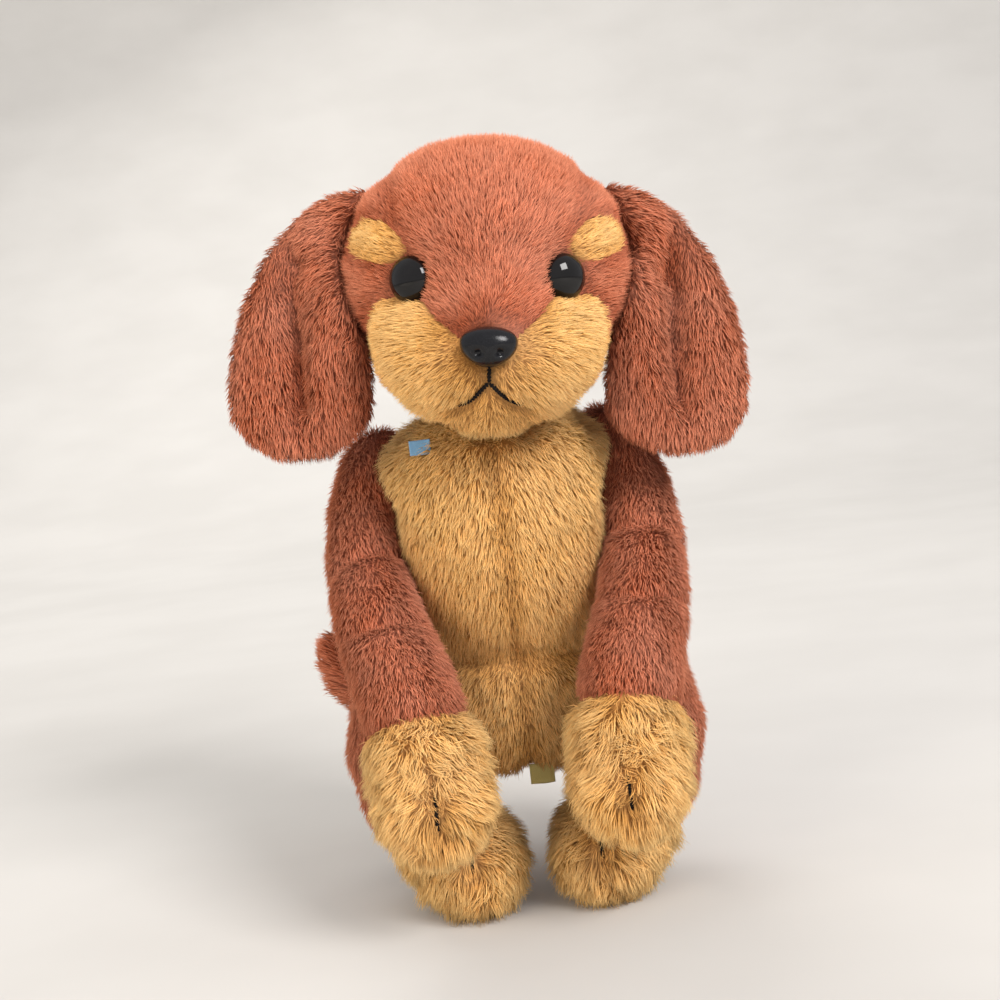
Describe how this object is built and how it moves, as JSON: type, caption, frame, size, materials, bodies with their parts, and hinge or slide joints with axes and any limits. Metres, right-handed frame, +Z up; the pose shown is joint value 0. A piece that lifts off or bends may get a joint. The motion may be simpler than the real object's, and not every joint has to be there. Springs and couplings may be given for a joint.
{
  "type": "plush dog",
  "caption": "Sewn long-pile plush puppy with folded hanging ears, domed eyes, a moulded nose and limbs that swing from their seams.",
  "frame": {"origin": "on the floor plane, under the middle of the bounding box", "axes": "+Z up from the feet to the crown, the puppy faces -Y, +X is its own left side"},
  "size_m": [0.2428, 0.1992, 0.3605],
  "materials": {
    "rust_plush": "dense pile about 9 mm long, rust brown",
    "tan_plush": "dense pile about 10 mm long, golden tan",
    "fibre_filling": "loose polyester fibre",
    "eye_plastic": "polished black",
    "nose_plastic": "fine grained satin black",
    "washer_plastic": "natural nylon",
    "black_thread": "embroidery thread",
    "label_fabric": "woven ribbon, blank",
    "tag_fabric": "woven satin ribbon, blank"
  },
  "bodies": {
    "torso": {"left_chest_panel": "tan_plush", "right_chest_panel": "tan_plush", "left_back_panel": "rust_plush", "right_back_panel": "rust_plush", "torso_stuffing": "fibre_filling", "care_label": "label_fabric", "neck_tag": "tag_fabric"},
    "neck": {"neck_cover": "rust_plush", "neck_stuffing": "fibre_filling"},
    "head": {"forehead_gusset": "rust_plush", "left_head_side": "rust_plush", "right_head_side": "rust_plush", "left_cheek": "tan_plush", "right_cheek": "tan_plush", "left_brow_patch": "tan_plush", "right_brow_patch": "tan_plush", "chin": "tan_plush", "head_stuffing": "fibre_filling", "left_eye": "eye_plastic", "right_eye": "eye_plastic", "left_eye_washer": "washer_plastic", "right_eye_washer": "washer_plastic", "nose": "nose_plastic", "nose_washer": "washer_plastic", "mouth_thread": "black_thread"},
    "tail": {"tail_cover": "rust_plush", "tail_stuffing": "fibre_filling"},
    "left_ear": {"left_ear_outer": "rust_plush", "left_ear_lining": "rust_plush"},
    "left_foreleg": {"left_foreleg_sleeve": "rust_plush", "left_forepaw": "tan_plush", "left_foreleg_stuffing": "fibre_filling", "left_forepaw_toe_stitch": "black_thread"},
    "left_hind_leg": {"left_thigh": "rust_plush", "left_hind_foot": "tan_plush", "left_hind_leg_stuffing": "fibre_filling", "left_hind_toe_stitch": "black_thread"},
    "right_ear": {"right_ear_outer": "rust_plush", "right_ear_lining": "rust_plush"},
    "right_foreleg": {"right_foreleg_sleeve": "rust_plush", "right_forepaw": "tan_plush", "right_foreleg_stuffing": "fibre_filling", "right_forepaw_toe_stitch": "black_thread"},
    "right_hind_leg": {"right_thigh": "rust_plush", "right_hind_foot": "tan_plush", "right_hind_leg_stuffing": "fibre_filling", "right_hind_toe_stitch": "black_thread"}
  },
  "joints": [
    {"name": "neck_turn", "type": "hinge", "parent": "torso", "child": "neck", "pos_m": [-0.00154, 0.01163, 0.231], "axis": [0, 0, 1], "range_deg": [-25, 25], "stiffness_Nm_per_rad": 0.02},
    {"name": "neck_nod", "type": "hinge", "parent": "neck", "child": "head", "pos_m": [-0.00154, 0.01163, 0.231], "axis": [-1, 0, 0], "range_deg": [-10, 15], "stiffness_Nm_per_rad": 0.02},
    {"name": "left_ear_flap", "type": "hinge", "parent": "head", "child": "left_ear", "pos_m": [0.05877, -0.00437, 0.3357], "axis": [0, -1, 0], "range_deg": [0, 60], "stiffness_Nm_per_rad": 0.002},
    {"name": "right_ear_flap", "type": "hinge", "parent": "head", "child": "right_ear", "pos_m": [-0.04077, -0.00437, 0.34529], "axis": [0, 1, 0], "range_deg": [0, 60], "stiffness_Nm_per_rad": 0.002},
    {"name": "left_shoulder_swing", "type": "hinge", "parent": "torso", "child": "left_foreleg", "pos_m": [0.06246, 0.02263, 0.197], "axis": [-1, 0, 0], "range_deg": [-2, 40], "stiffness_Nm_per_rad": 0.02},
    {"name": "right_shoulder_swing", "type": "hinge", "parent": "torso", "child": "right_foreleg", "pos_m": [-0.06554, 0.02263, 0.197], "axis": [-1, 0, 0], "range_deg": [-2, 40], "stiffness_Nm_per_rad": 0.02},
    {"name": "left_hip_splay", "type": "hinge", "parent": "torso", "child": "left_hind_leg", "pos_m": [0.05746, 0.02063, 0.092], "axis": [0, 0, 1], "range_deg": [0, 35], "stiffness_Nm_per_rad": 0.02},
    {"name": "right_hip_splay", "type": "hinge", "parent": "torso", "child": "right_hind_leg", "pos_m": [-0.06054, 0.02063, 0.092], "axis": [0, 0, -1], "range_deg": [0, 35], "stiffness_Nm_per_rad": 0.02},
    {"name": "tail_wag", "type": "hinge", "parent": "torso", "child": "tail", "pos_m": [0.01546, 0.05763, 0.088], "axis": [0, 0, -1], "range_deg": [0, 60], "stiffness_Nm_per_rad": 0.002}
  ]
}
